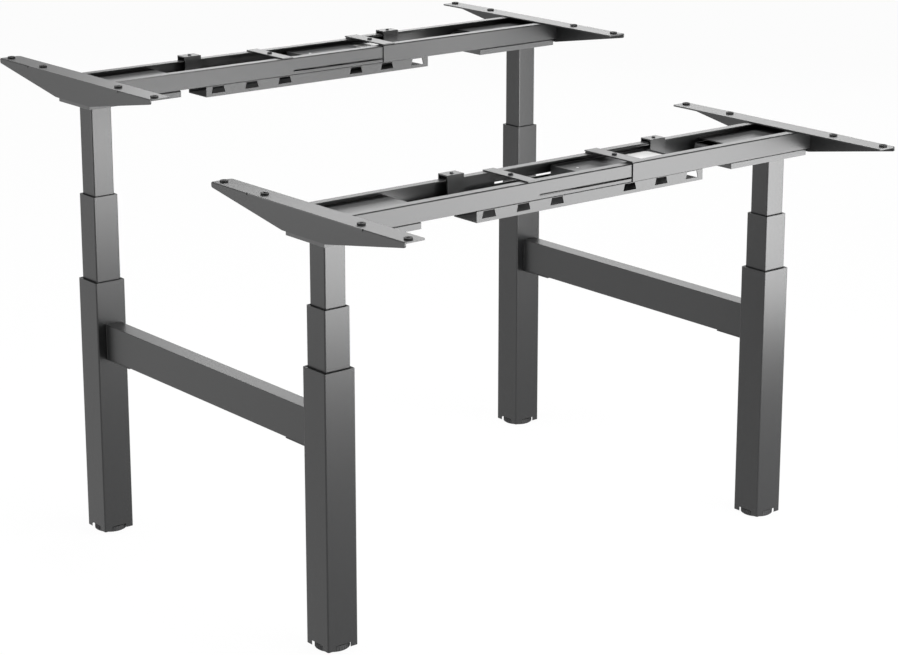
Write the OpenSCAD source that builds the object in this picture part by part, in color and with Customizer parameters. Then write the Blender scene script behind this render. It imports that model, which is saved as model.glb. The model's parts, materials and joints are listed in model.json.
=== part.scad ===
// Frame for two height-adjustable desks, back to back
// X runs along the beams, Y from the front desk to the back desk, Z up from the floor
// The origin lies on the floor at the centre of the four columns

/* [Layout] */
// Distance between the column centres along a beam
column_span_x = 1154; // [1100:1:1250]
// Distance between the column centres from front to back
column_span_y = 810; // [740:1:1100]
// Height of the front desk above its lowest position
front_lift_rest = 222; // [20:1:600]
// Height of the back desk above its lowest position
back_lift_rest = 349; // [20:1:600]

/* [Outer tube] */
// Side of the outer tube's square
outer_w = 70; // [68:0.5:76]
// Length of the outer tube
outer_len = 552; // [520:1:560]
// Height of the outer tube's foot above the floor
outer_foot_z = 5; // [3:0.5:8]
// Radius of the round recess across the tube's foot
recess_r = 39; // [36:0.5:44]
// Height of that recess
recess_h = 9; // [6:0.5:10]

/* [Mid tube] */
// Side of the mid tube's square
mid_w = 58; // [56:0.5:60]
// Length of the mid tube
mid_len = 540; // [520:1:560]
// Height of the mid tube's foot at the lowest position
mid_foot_z = 25; // [24:0.5:30]

/* [Inner tube] */
// Side of the inner tube's square
inner_w = 48; // [46:0.5:50]
// Length of the inner tube
inner_len = 538; // [530:1:560]
// Height of the inner tube's foot at the lowest position
inner_foot_z = 45; // [44:0.5:50]

/* [Tube walls] */
// Wall of every tube
tube_wall = 2; // [1.5:0.1:2.5]
// Outside radius of the tubes' corners
tube_r = 3; // [2.6:0.1:5]

/* [Crossbar] */
// Width of the crossbar
bar_w = 36; // [30:1:50]
// Height of the crossbar's section
bar_h = 75; // [50:1:90]
// Height of the crossbar's underside above the floor
bar_z = 391; // [300:1:430]
// Sideways offset of the crossbar from the column centres
bar_offset = 3; // [0:0.5:8]
// Thickness of the saddle brackets under the crossbar's ends
saddle_t = 2.5; // [2:0.1:4]
// Length of a saddle bracket from the column's face
saddle_len = 88; // [60:1:120]

/* [Beam] */
// Height of the rails
rail_h = 38.5; // [34:0.5:45]
// Distance between the outer faces of the right half's rails
beam_w = 142; // [136:1:156]
// Sheet thickness of the rails
rail_t = 2.2; // [1.8:0.1:2.5]
// Width of the rails' turned-in flanges
rail_flange = 20; // [16:0.5:24]
// Where the right half's rails begin, along X
outer_rail_x = 119; // [100:1:125]
// Where the left half's rails end, along X
inner_rail_x = 330; // [300:1:332]
// Height of the slot in the left half's rails
slot_h = 4; // [2:0.5:5]
// Depth of the slot's middle under the beam's top
slot_drop = 30.5; // [26:0.5:32]
// Where the slot begins, along X
slot_x = -123; // [-140:1:-100]
// Length of the slot
slot_len = 423; // [300:1:430]

/* [Ties] */
// Thickness of the tie plates
tie_t = 2.5; // [2:0.1:3]
// Width of the left tie along X
left_tie_w = 27.5; // [22:0.5:34]
// Middle of the left tie along X
left_tie_x = -138; // [-160:1:-120]
// Width of the right tie along X
right_tie_w = 33; // [24:0.5:36]
// Middle of the right tie along X
right_tie_x = 133.5; // [125:0.5:136]

/* [Side bracket] */
// Length of a side bracket
bracket_len = 600; // [560:1:640]
// Distance from a bracket's outer face to the column's centre
column_inset = 53; // [50:0.5:70]
// Width of the bracket's flange
bracket_flange = 47; // [42:0.5:55]
// Sheet thickness of the bracket
bracket_t = 3; // [2.5:0.1:4]
// Depth of the web at the column
web_deep = 50; // [44:0.5:58]
// Depth of the web at its ends
web_shallow = 11; // [9:0.5:14]
// Half length of the deep middle of the web
web_mid_half = 68; // [50:1:90]
// Radius of the web's lower corners
web_end_r = 4.5; // [2:0.5:5]
// Radius of the bracket's corners
bracket_r = 6; // [3:0.5:9]
// Radius of the fold relief nicks
nick_r = 2; // [1:0.1:3]

/* [Pads] */
// Radius of a pad
pad_r = 8.25; // [7:0.25:10]
// Height of a pad
pad_h = 3.5; // [2:0.1:5]
// Radius of the screw hole through a pad and the flange under it
pad_hole_r = 3.5; // [2.5:0.1:4.5]
// Distance of the pads' centres from the bracket's outer face
pad_inset = 19.5; // [14:0.5:26]
// Distance of the outer pads from the column's centre line
pad_far_y = 285; // [250:1:288]
// Distance of the inner pads from the column's centre line
pad_near_y = 150; // [100:1:200]

/* [Head housing] */
// Distance from the beam's top down to the head housing's underside
head_drop = 55; // [50:0.5:62]
// Half width of the housing's lower box
head_half_y = 60; // [54:0.5:64]
// Length of the housing, from the bracket's web inwards
head_len = 222; // [200:1:236]
// Sheet thickness of the housing
head_t = 2.5; // [2:0.1:3]
// Distance from the beam's top down to the cover plate's top
cover_drop = 14; // [10:0.5:20]
// Length of the left cover plate, from the bracket's web inwards
left_cover_len = 230; // [210:1:250]
// Length of the right cover plate, from the bracket's web inwards
right_cover_len = 189; // [170:1:210]

/* [Cable tray] */
// Length of a cable tray
tray_len = 593; // [500:1:600]
// Depth of a tray from front to back
tray_d = 68; // [50:0.5:80]
// Distance from the beam's top down to the tray's underside
tray_drop = 61; // [55:0.5:75]
// Sheet thickness of the tray
tray_t = 1.8; // [1.2:0.1:2.5]
// Middle of the front desk's tray along X
front_tray_x = 15.5; // [0:0.5:17]
// Middle of the back desk's tray along X
back_tray_x = -53; // [-60:0.5:-20]
// Height of a window in the tray's front wall
window_h = 14; // [8:0.5:15]
// Width of a window along its lower edge
window_low_w = 34.5; // [24:0.5:40]
// Width of a window along its upper edge
window_top_w = 27; // [16:0.5:30]
// Distance of the first window from the tray's middle
window_first_x = 95.5; // [60:0.5:110]
// Distance of the last window from the tray's end
window_end = 30; // [24:0.5:60]

/* [Tray hangers] */
// Width of a hanger along the beam
hanger_w = 41; // [30:1:46]
// Sheet thickness of a hanger
hanger_t = 2.5; // [2:0.1:3]
// Height of a hanger's top above the beam's top
hanger_rise = 6.5; // [6:0.1:9]
// Distance of the left hanger's middle from the tray's left end
left_hanger_in = 44; // [30:1:60]
// Distance of the right hanger's middle from the tray's right end
right_hanger_in = 15; // [15:1:40]

/* [Control box] */
// Length of the control box
control_len = 255; // [150:1:265]
// Depth of the control box from front to back
control_d = 90; // [50:1:95]
// Distance from the control box to the right hanger
control_gap = 6; // [4:0.5:12]
// Distance from the beam's top down to the rim round the control box's lid
control_drop = 12; // [9:0.5:18]
// Width of that rim
control_rim = 2.5; // [1.5:0.5:4]
// Depth of the lid below the rim
control_lid_drop = 2.5; // [1:0.5:4]

/* [Drive] */
// Radius of the motor
motor_r = 19; // [15:0.5:20]
// Length of the motor
motor_len = 118; // [90:1:124]
// Radius of the gearbox
gearbox_r = 21; // [18:0.5:21.5]
// Length of the gearbox
gearbox_len = 60; // [40:1:65]
// Distance across the flats of the drive shaft
hex_flats = 7; // [6:0.1:7.4]
// Radius of the drive shaft's journal in the gearbox
journal_r = 5; // [4:0.1:8]
// Outside radius of the hollow spindle
spindle_r = 10; // [9:0.1:12]
// Inside radius of the hollow spindle
spindle_bore_r = 7.5; // [7.4:0.1:8]
// Length of the hollow spindle
spindle_len = 374; // [370:1:376]
// Outside radius of the fixed screw
screw_r = 7; // [6:0.1:7.1]
// Inside radius of the fixed screw
screw_bore_r = 4.5; // [4.4:0.1:5]
// Height of the fixed screw's top above the floor
screw_top_z = 365; // [362:1:375]

/* [Glide feet] */
// Radius of a glide foot
foot_r = 34; // [24:0.5:35]
// Height of a glide foot
foot_h = 11.5; // [9:0.5:11.5]
// Radius of a glide foot's threaded stem
stem_r = 4; // [3:0.1:4.2]
// Length of the stem above the foot
stem_len = 17.5; // [14:0.5:17.5]

/* [Hidden] */
$fn = 48;

// Sides and rows
left = -1;
right = 1;
front = -1;
back = 1;
rows = [front, back];

// Clearances
cut_over = 1;
slide_gap = 0.3;
fit_gap = 0.05;
screw_gap = 0.2;
seat_gap = 0.1;

// Glide collars between the tubes
collar_h = 40;
collar_sink = 1;
shoe_h = 30;
mid_plate_t = 6;

// Base plate in the outer tube's foot, over the glide foot
base_plate_t = 5;
base_plate_z = outer_foot_z + recess_h;
foot_chamfer = 1.5;

// Spindle: nut at its foot, hexagonal bush at its top, collar on the end plate
spindle_foot_sink = 1;
spindle_nut_h = 12;
bush_h = 15;
spindle_collar_r = 14;
spindle_collar_h = 4;

// Plug nut in the inner tube's foot
plug_h = 20;
plug_flange_h = 4;

// Drive shaft, gearbox and motor
shaft_foot_z = 35;
journal_len = 18;
journal_end_gap = 2;
motor_flange_r = 26;
motor_flange_t = 3;
motor_top_drop = 30;

// Screws in the ties
tie_screw_r = 3;
tie_screw_len = 8;
tie_screw_head_r = 5.5;
tie_screw_head_h = 3;

// Hanger: hook over the rear rail and lip against the tray
hook_gap = 1.5;
hook_lip_h = 9;
tray_lip_h = 16;
hanger_screw_r = 4;
hanger_screw_h = 2;
tray_gap = 0.5;
window_top_gap = 1.2;

// Nicks beside the outer pads' side of the inner pads
nick_y = pad_near_y + 30;

// Derived places
outer_in = outer_w - 2 * tube_wall;
mid_in = mid_w - 2 * tube_wall;
inner_in = inner_w - 2 * tube_wall;
in_r = tube_r - tube_wall;
beam_half = beam_w / 2;
inner_rail_half = beam_half - rail_t - slide_gap;
inner_rail_drop = rail_t + slide_gap;
bracket_span = column_span_x + 2 * column_inset;
bracket_in = bracket_span / 2 - bracket_t;
gearbox_drop = motor_top_drop + motor_len + gearbox_len;
tray_back_y = tray_d - beam_half;
tray_top_drop = rail_h + tray_gap;
window_drop = tray_top_drop + window_top_gap + window_h / 2;
window_count = 3;
window_step = (tray_len / 2 - window_first_x - window_end) / (window_count - 1);
left_hanger_x = left_hanger_in - tray_len / 2;
right_hanger_x = tray_len / 2 - right_hanger_in;
control_end_x = right_hanger_x - hanger_w / 2 - control_gap;

function leg_x(side) = side * column_span_x / 2;
function leg_y(row) = row * column_span_y / 2;
function lift(row) = row == front ? front_lift_rest : back_lift_rest;
function top_z(row) = inner_foot_z + inner_len + head_drop + lift(row);
function tray_x(row) = row == front ? front_tray_x : back_tray_x;

// Flat square with round corners
module round_square(side_x, side_y, corner) {
    square([side_x - 2 * corner, side_y], center = true);
    square([side_x, side_y - 2 * corner], center = true);
    for (sx = [left, right], sy = rows)
        translate([sx * (side_x / 2 - corner), sy * (side_y / 2 - corner)])
            circle(r = corner);
}

// Square ring of a given height, standing on z = 0
module square_ring(outside, outside_r, inside, inside_r, height) {
    difference() {
        linear_extrude(height)
            round_square(outside, outside, outside_r);
        translate([0, 0, -cut_over])
            linear_extrude(height + 2 * cut_over)
                round_square(inside, inside, inside_r);
    }
}

// Hexagonal prism measured across its flats
module hex_prism(flats, height) {
    cylinder(r = flats / sqrt(3), h = height, $fn = 6);
}

// Box between two x values and two y values, whichever way round they come
module span_box(x_a, x_b, y_a, y_b, z_a, z_b) {
    translate([min(x_a, x_b), min(y_a, y_b), z_a])
        cube([abs(x_b - x_a), abs(y_b - y_a), z_b - z_a]);
}

// Bottom stage with the round recess that the glide foot stands in
module outer_tube(side, row) {
    color("dimgray")
        translate([leg_x(side), leg_y(row), outer_foot_z])
            difference() {
                square_ring(outer_w, tube_r, outer_in, in_r, outer_len);
                translate([0, 0, -cut_over])
                    cylinder(r = recess_r, h = recess_h + cut_over);
            }
}

// Crossbar between the two outer tubes of one side, with a saddle bracket at each end
module crossbar(side) {
    bar_end = leg_y(back) - outer_w / 2 - saddle_t - seat_gap;
    color("dimgray")
        translate([leg_x(side) + bar_offset, 0, bar_z]) {
            difference() {
                translate([-bar_w / 2, -bar_end, 0])
                    cube([bar_w, 2 * bar_end, bar_h]);
                translate([tube_wall - bar_w / 2, -bar_end - cut_over, tube_wall])
                    cube([bar_w - 2 * tube_wall, 2 * (bar_end + cut_over), bar_h - 2 * tube_wall]);
            }
            for (row = rows)
                saddle(row, bar_end);
        }
}

// Angle of sheet under one end of the crossbar and against the column
module saddle(row, bar_end) {
    y_in = row * (bar_end + seat_gap);
    y_out = row * (bar_end + seat_gap + saddle_t);
    z_low = -seat_gap - saddle_t;
    span_box(-bar_w / 2, bar_w / 2, y_in, y_out, z_low, bar_h);
    span_box(-bar_w / 2, bar_w / 2, y_out - row * saddle_len, y_out, z_low, -seat_gap);
}

// Base plate with the fixed hollow screw, one in each outer tube of a side
module base_screws(side) {
    color("silver")
        for (row = rows)
            translate([leg_x(side), leg_y(row), base_plate_z])
                difference() {
                    union() {
                        linear_extrude(base_plate_t)
                            round_square(outer_in, outer_in, in_r);
                        cylinder(r = screw_r, h = screw_top_z - base_plate_z);
                    }
                    translate([0, 0, -cut_over])
                        cylinder(r = stem_r + fit_gap, h = base_plate_t + 2 * cut_over);
                    translate([0, 0, base_plate_t])
                        cylinder(r = screw_bore_r, h = screw_top_z - base_plate_z);
                }
}

// Glide collars in the mouths of the outer tubes of a side
module mouth_glides(side) {
    color("black")
        for (row = rows)
            translate([leg_x(side), leg_y(row), outer_foot_z + outer_len - collar_sink - collar_h])
                square_ring(outer_in, in_r, mid_w + 2 * slide_gap, tube_r, collar_h);
}

// Glide foot on its threaded stem
module foot(side, row) {
    color("black")
        translate([leg_x(side), leg_y(row), 0]) {
            cylinder(r1 = foot_r - foot_chamfer, r2 = foot_r, h = foot_chamfer);
            translate([0, 0, foot_chamfer])
                cylinder(r = foot_r, h = foot_h - foot_chamfer);
            cylinder(r = stem_r, h = foot_h + stem_len);
        }
}

// Middle stage, raised half as far as the desk
module mid_tube(side, row) {
    color("gray")
        translate([leg_x(side), leg_y(row), mid_foot_z + lift(row) / 2])
            square_ring(mid_w, tube_r, mid_in, in_r, mid_len);
}

// Shoe round the mid tube's foot, collar in its mouth and end plate with the spindle's bush
module mid_glides(side, row) {
    color("black")
        translate([leg_x(side), leg_y(row), mid_foot_z + lift(row) / 2]) {
            square_ring(outer_in - 2 * slide_gap, in_r, mid_w, tube_r, shoe_h);
            translate([0, 0, mid_len - collar_sink - collar_h])
                square_ring(mid_in, in_r, inner_w + 2 * slide_gap, tube_r, collar_h);
            difference() {
                linear_extrude(mid_plate_t)
                    round_square(mid_in, mid_in, in_r);
                translate([0, 0, -cut_over])
                    cylinder(r = spindle_r + fit_gap, h = mid_plate_t + 2 * cut_over);
            }
        }
}

// Hollow spindle that turns in the mid tube's end plate
module spindle(side, row) {
    color("silver")
        translate([leg_x(side), leg_y(row), mid_foot_z + lift(row) / 2 + spindle_foot_sink])
            difference() {
                union() {
                    cylinder(r = spindle_r, h = spindle_len);
                    translate([0, 0, mid_plate_t - spindle_foot_sink + slide_gap])
                        cylinder(r = spindle_collar_r, h = spindle_collar_h);
                }
                translate([0, 0, -cut_over])
                    cylinder(r = screw_r + fit_gap, h = spindle_nut_h + 2 * cut_over);
                translate([0, 0, spindle_nut_h])
                    cylinder(r = spindle_bore_r, h = spindle_len - spindle_nut_h - bush_h);
                translate([0, 0, spindle_len - bush_h - cut_over])
                    hex_prism(hex_flats + 2 * fit_gap, bush_h + 2 * cut_over);
            }
}

// Hexagonal drive shaft with a round journal in the gearbox
module drive_shaft(side, row) {
    shaft_len = top_z(row) - gearbox_drop - shaft_foot_z - lift(row);
    color("silver")
        translate([leg_x(side), leg_y(row), shaft_foot_z + lift(row)]) {
            hex_prism(hex_flats, shaft_len);
            translate([0, 0, shaft_len - slide_gap])
                cylinder(r = journal_r, h = journal_len);
        }
}

// Top stage, fixed to the desk's head
module inner_tube(side, row) {
    color("gray")
        translate([leg_x(side), leg_y(row), inner_foot_z + lift(row)])
            square_ring(inner_w, tube_r, inner_in, in_r, inner_len);
}

// Motor and gearbox in the inner tube's top, and the plug nut in its foot
module motor(side, row) {
    color("darkgray")
        translate([leg_x(side), leg_y(row), 0]) {
            translate([0, 0, top_z(row) - gearbox_drop])
                difference() {
                    cylinder(r = gearbox_r, h = gearbox_len);
                    translate([0, 0, -cut_over])
                        cylinder(r = journal_r + fit_gap, h = journal_len + journal_end_gap + cut_over);
                }
            translate([0, 0, top_z(row) - motor_top_drop - motor_len + seat_gap])
                cylinder(r = motor_r, h = motor_len - seat_gap);
            translate([0, 0, top_z(row) - head_drop + head_t])
                cylinder(r = motor_flange_r, h = motor_flange_t);
            plug_nut(row);
        }
}

// Nut that rides on the spindle's outside, flanged under the inner tube
module plug_nut(row) {
    translate([0, 0, inner_foot_z + lift(row)])
        difference() {
            union() {
                linear_extrude(plug_h)
                    round_square(inner_in, inner_in, in_r);
                translate([0, 0, -plug_flange_h])
                    linear_extrude(plug_flange_h)
                        round_square(mid_in - 2 * slide_gap, mid_in - 2 * slide_gap, in_r);
            }
            translate([0, 0, -plug_flange_h - cut_over])
                cylinder(r = spindle_r + fit_gap, h = plug_flange_h + plug_h + 2 * cut_over);
        }
}

// Half width of the housing's upper box, between the rails' flanges
head_upper_half = inner_rail_half - rail_flange;

// Housing between the rails on top of the inner tube, with its cover plate
module housing(side, row) {
    cover_half = side == left ? inner_rail_half - rail_t : beam_half - rail_t;
    cover_x = bracket_in - (side == left ? left_cover_len : right_cover_len);
    x_in = side * (bracket_in - head_len);
    x_out = side * bracket_in;
    color("dimgray")
        translate([0, leg_y(row), top_z(row)]) {
            difference() {
                union() {
                    span_box(x_in, x_out, -head_half_y, head_half_y, -head_drop, -rail_h);
                    span_box(x_in, x_out, -head_upper_half, head_upper_half, -rail_h,
                             -cover_drop - head_t - seat_gap);
                }
                span_box(x_in + side * head_t, x_out - side * head_t, head_t - head_half_y,
                         head_half_y - head_t, head_t - head_drop, -rail_h - head_t);
                span_box(x_in + side * head_t, x_out - side * head_t, head_t - head_upper_half,
                         head_upper_half - head_t, head_t - head_drop, cut_over - cover_drop - head_t);
                translate([leg_x(side), 0, -head_drop - cut_over])
                    cylinder(r = motor_r + slide_gap, h = head_t + 2 * cut_over);
            }
            span_box(side * cover_x, x_out, -cover_half, cover_half, -cover_drop - head_t, -cover_drop);
        }
}

// Left half's rails: C sections with a slot, inside the right half's rails
module left_rails(row) {
    color("gray")
        translate([0, leg_y(row), top_z(row)]) {
            for (face = rows)
                inner_rail(face);
            tie(left_tie_x, left_tie_w, inner_rail_half, seat_gap - inner_rail_drop);
        }
}

module inner_rail(face) {
    y_out = face * inner_rail_half;
    y_web = face * (inner_rail_half - rail_t);
    y_lip = face * head_upper_half;
    difference() {
        union() {
            span_box(-bracket_in, inner_rail_x, y_out, y_web, -rail_h, -inner_rail_drop);
            span_box(-bracket_in, inner_rail_x, y_out, y_lip, -rail_h, rail_t - rail_h);
            span_box(-bracket_in, inner_rail_x, y_out, y_lip, -inner_rail_drop - rail_t,
                     -inner_rail_drop);
        }
        span_box(slot_x, slot_x + slot_len, face * (inner_rail_half + cut_over),
                 face * (inner_rail_half - rail_t - cut_over), -slot_drop - slot_h / 2,
                 slot_h / 2 - slot_drop);
    }
}

// Right half's rails: a web with a flange turned in along its top
module right_rails(row) {
    color("gray")
        translate([0, leg_y(row), top_z(row)]) {
            for (face = rows)
                outer_rail(face);
            tie(right_tie_x, right_tie_w, beam_half, seat_gap);
        }
}

module outer_rail(face) {
    span_box(outer_rail_x, bracket_in, face * beam_half, face * (beam_half - rail_t), -rail_h, 0);
    span_box(outer_rail_x, bracket_in, face * beam_half, face * (beam_half - rail_flange), -rail_t, 0);
}

// Plate across the tops of a half's two rails, with a screw in its middle
module tie(middle_x, width, half_len, seat_z) {
    translate([middle_x, 0, seat_z]) {
        difference() {
            translate([-width / 2, -half_len, 0])
                cube([width, 2 * half_len, tie_t]);
            translate([0, 0, -cut_over])
                cylinder(r = tie_screw_r + screw_gap, h = tie_t + 2 * cut_over);
        }
        translate([0, 0, tie_t + seat_gap])
            cylinder(r = tie_screw_head_r, h = tie_screw_head_h);
        translate([0, 0, tie_t - tie_screw_len])
            cylinder(r = tie_screw_r, h = tie_screw_len + cut_over);
    }
}

// Outline of the web, from the bracket's top down, with y across
module web_outline() {
    half = bracket_len / 2;
    polygon([
        [-half, 0], [half, 0], [half, web_end_r - web_shallow],
        [half - web_end_r, -web_shallow], [web_mid_half, -web_deep],
        [-web_mid_half, -web_deep], [web_end_r - half, -web_shallow],
        [-half, web_end_r - web_shallow]
    ]);
    for (face = rows)
        translate([face * (half - web_end_r), web_end_r - web_shallow])
            circle(r = web_end_r);
}

// Side bracket: flange over the beam's end and tapered web outside it
module bracket(side, row) {
    x_out = side * bracket_span / 2;
    pad_x = x_out - side * pad_inset;
    color("dimgray")
        translate([0, leg_y(row), top_z(row)])
            difference() {
                union() {
                    translate([x_out - side * bracket_flange / 2, 0, 0])
                        linear_extrude(bracket_t)
                            round_square(bracket_flange, bracket_len, bracket_r);
                    translate([side == left ? x_out : bracket_in, 0, bracket_t])
                        rotate([90, 0, 90])
                            linear_extrude(bracket_t)
                                web_outline();
                }
                for (y = [-pad_far_y, -pad_near_y, pad_near_y, pad_far_y])
                    translate([pad_x, y, -cut_over])
                        cylinder(r = pad_hole_r, h = bracket_t + 2 * cut_over);
                for (face = rows)
                    translate([x_out, face * nick_y, -cut_over])
                        cylinder(r = nick_r, h = bracket_t + 2 * cut_over);
            }
}

// Four pads on a side bracket
module pads(side, row) {
    color("black")
        for (y = [-pad_far_y, -pad_near_y, pad_near_y, pad_far_y])
            translate([side * (bracket_span / 2 - pad_inset), leg_y(row) + y, top_z(row) + bracket_t])
                difference() {
                    cylinder(r = pad_r, h = pad_h);
                    translate([0, 0, -cut_over])
                        cylinder(r = pad_hole_r, h = pad_h + 2 * cut_over);
                }
}

// Cable tray with windows in its front wall, open at both ends, on two hangers
module cable_tray(row) {
    color("gray")
        translate([tray_x(row), leg_y(row), top_z(row)]) {
            difference() {
                span_box(-tray_len / 2, tray_len / 2, -beam_half, tray_back_y, -tray_drop,
                         -tray_top_drop);
                span_box(-tray_len / 2 - cut_over, tray_len / 2 + cut_over, tray_t - beam_half,
                         tray_back_y - tray_t, tray_t - tray_drop, cut_over - tray_top_drop);
                for (side = [left, right], n = [0:window_count - 1])
                    translate([side * (window_first_x + n * window_step), 0, -window_drop])
                        window();
            }
            hanger(left_hanger_x);
            hanger(right_hanger_x);
        }
}

// Window cut, wider at its foot
module window() {
    translate([0, tray_t + cut_over - beam_half, 0])
        rotate([90, 0, 0])
            linear_extrude(tray_t + 2 * cut_over)
                polygon([
                    [-window_low_w / 2, -window_h / 2], [window_low_w / 2, -window_h / 2],
                    [window_top_w / 2, window_h / 2], [-window_top_w / 2, window_h / 2]
                ]);
}

// Hanger: hook over the rear rail, leg against the rails' flanges, shelf and lip to the tray
module hanger(x) {
    x_a = x - hanger_w / 2;
    x_b = x + hanger_w / 2;
    y_leg = head_upper_half - hanger_t;
    y_hook = beam_half + hook_gap;
    y_lip = tray_back_y + seat_gap;
    span_box(x_a, x_b, y_leg, y_hook + hanger_t, hanger_rise - hanger_t, hanger_rise);
    span_box(x_a, x_b, y_hook, y_hook + hanger_t, hanger_rise - hanger_t - hook_lip_h, hanger_rise);
    span_box(x_a, x_b, y_leg, y_leg + hanger_t, -tray_top_drop - hanger_t, hanger_rise);
    span_box(x_a, x_b, y_lip, y_leg + hanger_t, -tray_top_drop - hanger_t, -tray_top_drop);
    span_box(x_a, x_b, y_lip, y_lip + hanger_t, -tray_top_drop - tray_lip_h, -tray_top_drop);
    translate([x, (y_leg + y_hook) / 2, hanger_rise + seat_gap])
        cylinder(r = hanger_screw_r, h = hanger_screw_h);
}

// Control box on the rear rail's lower flange, with a rim round its lid
module control_box(row) {
    box_back = head_upper_half + rail_flange / 2;
    x_a = control_end_x - control_len;
    color("black")
        translate([tray_x(row), leg_y(row), top_z(row)])
            difference() {
                span_box(x_a, control_end_x, box_back - control_d, box_back, rail_t - rail_h,
                         -control_drop);
                span_box(x_a + control_rim, control_end_x - control_rim,
                         box_back - control_d + control_rim, box_back - control_rim,
                         -control_drop - control_lid_drop, cut_over - control_drop);
            }
}

outer_tube(left, front);  // front_left_outer_tube
outer_tube(left, back);  // back_left_outer_tube
crossbar(left);  // left_crossbar
base_screws(left);  // left_base_screws
mouth_glides(left);  // left_mouth_glides
outer_tube(right, front);  // front_right_outer_tube
outer_tube(right, back);  // back_right_outer_tube
crossbar(right);  // right_crossbar
base_screws(right);  // right_base_screws
mouth_glides(right);  // right_mouth_glides
foot(left, front);  // front_left_foot
foot(right, front);  // front_right_foot
foot(left, back);  // back_left_foot
foot(right, back);  // back_right_foot
mid_tube(left, front);  // front_left_mid_tube
mid_tube(right, front);  // front_right_mid_tube
mid_tube(left, back);  // back_left_mid_tube
mid_tube(right, back);  // back_right_mid_tube
mid_glides(left, front);  // front_left_mid_glides
mid_glides(right, front);  // front_right_mid_glides
mid_glides(left, back);  // back_left_mid_glides
mid_glides(right, back);  // back_right_mid_glides
spindle(left, front);  // front_left_spindle
spindle(right, front);  // front_right_spindle
spindle(left, back);  // back_left_spindle
spindle(right, back);  // back_right_spindle
drive_shaft(left, front);  // front_left_drive_shaft
drive_shaft(right, front);  // front_right_drive_shaft
drive_shaft(left, back);  // back_left_drive_shaft
drive_shaft(right, back);  // back_right_drive_shaft
inner_tube(left, front);  // front_left_inner_tube
inner_tube(right, front);  // front_right_inner_tube
inner_tube(left, back);  // back_left_inner_tube
inner_tube(right, back);  // back_right_inner_tube
motor(left, front);  // front_left_motor
motor(right, front);  // front_right_motor
motor(left, back);  // back_left_motor
motor(right, back);  // back_right_motor
housing(left, front);  // front_left_housing
housing(right, front);  // front_right_housing
housing(left, back);  // back_left_housing
housing(right, back);  // back_right_housing
left_rails(front);  // front_left_rails
right_rails(front);  // front_right_rails
left_rails(back);  // back_left_rails
right_rails(back);  // back_right_rails
bracket(left, front);  // front_left_bracket
bracket(right, front);  // front_right_bracket
bracket(left, back);  // back_left_bracket
bracket(right, back);  // back_right_bracket
pads(left, front);  // front_left_pads
pads(right, front);  // front_right_pads
pads(left, back);  // back_left_pads
pads(right, back);  // back_right_pads
cable_tray(front);  // front_cable_tray
cable_tray(back);  // back_cable_tray
control_box(front);  // front_control_box
control_box(back);  // back_control_box
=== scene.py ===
# %% [markdown]
# This lesson dresses a standing desk frame: four square telescopic columns, two crossbars, two
# telescopic beams, side brackets and cable trays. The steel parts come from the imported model, which
# already has their true sizes. They are loaded first and never moved: each visible part is then given
# broken edges, fasteners and paint around that fixed frame.

# %% Load the frame
import json
import math

import bmesh
import bpy
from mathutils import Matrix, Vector

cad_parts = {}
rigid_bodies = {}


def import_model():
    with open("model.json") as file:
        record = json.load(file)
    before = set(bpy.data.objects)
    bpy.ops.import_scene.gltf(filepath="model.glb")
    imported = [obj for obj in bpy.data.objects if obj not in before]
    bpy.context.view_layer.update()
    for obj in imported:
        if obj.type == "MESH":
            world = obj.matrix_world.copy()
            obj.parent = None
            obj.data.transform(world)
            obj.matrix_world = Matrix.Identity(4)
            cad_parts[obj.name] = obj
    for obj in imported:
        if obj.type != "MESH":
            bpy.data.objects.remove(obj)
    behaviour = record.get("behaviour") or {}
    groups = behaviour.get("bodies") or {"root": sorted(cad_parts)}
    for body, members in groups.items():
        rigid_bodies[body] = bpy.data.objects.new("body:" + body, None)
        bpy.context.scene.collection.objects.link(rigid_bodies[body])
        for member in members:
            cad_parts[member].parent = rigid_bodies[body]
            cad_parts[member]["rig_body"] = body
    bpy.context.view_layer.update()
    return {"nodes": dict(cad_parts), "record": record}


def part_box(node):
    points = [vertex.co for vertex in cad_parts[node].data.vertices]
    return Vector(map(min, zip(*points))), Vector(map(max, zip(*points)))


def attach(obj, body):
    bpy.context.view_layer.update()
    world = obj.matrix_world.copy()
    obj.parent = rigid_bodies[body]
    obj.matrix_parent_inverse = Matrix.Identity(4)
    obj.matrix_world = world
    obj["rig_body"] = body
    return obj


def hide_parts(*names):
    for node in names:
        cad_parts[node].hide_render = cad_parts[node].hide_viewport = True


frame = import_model()

# %% [markdown]
# The columns repeat at four corners, and almost every part of the frame is named by its desk (front or
# back) and its side (left or right). Naming the corners once lets every later step loop over them.

# %% Name the corners of the frame
MM = 0.001
DESKS = ("front", "back")
SIDES = ("left", "right")
CORNERS = [desk + "_" + side for desk in DESKS for side in SIDES]
BODY_OF = {name: obj["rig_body"] for name, obj in frame["nodes"].items()}
SLOT_OF = {row["node"]: row["material_slot"] for row in frame["record"]["subparts"]}
print("corners:", CORNERS)

# %% [markdown]
# The photograph was taken from the front left, a little above the desks. The camera's place was found
# by fitting the corners of the four columns, so the picture's vanishing points match. The optical axis
# lies above the middle of the picture, as in a cropped photograph, which a small lens shift repeats.

# %% Place the camera
PICTURE = (898, 655)
AXIS_PX = (449.0, 260.0)
FOCAL_PX = 2432.66
CAMERA_PLACE = Vector((-3.1076, -3.9022, 1.8945))
CAMERA_YAW = math.radians(38.849)
CAMERA_PITCH = math.radians(14.721)
SENSOR_MM = 36.0


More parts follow.
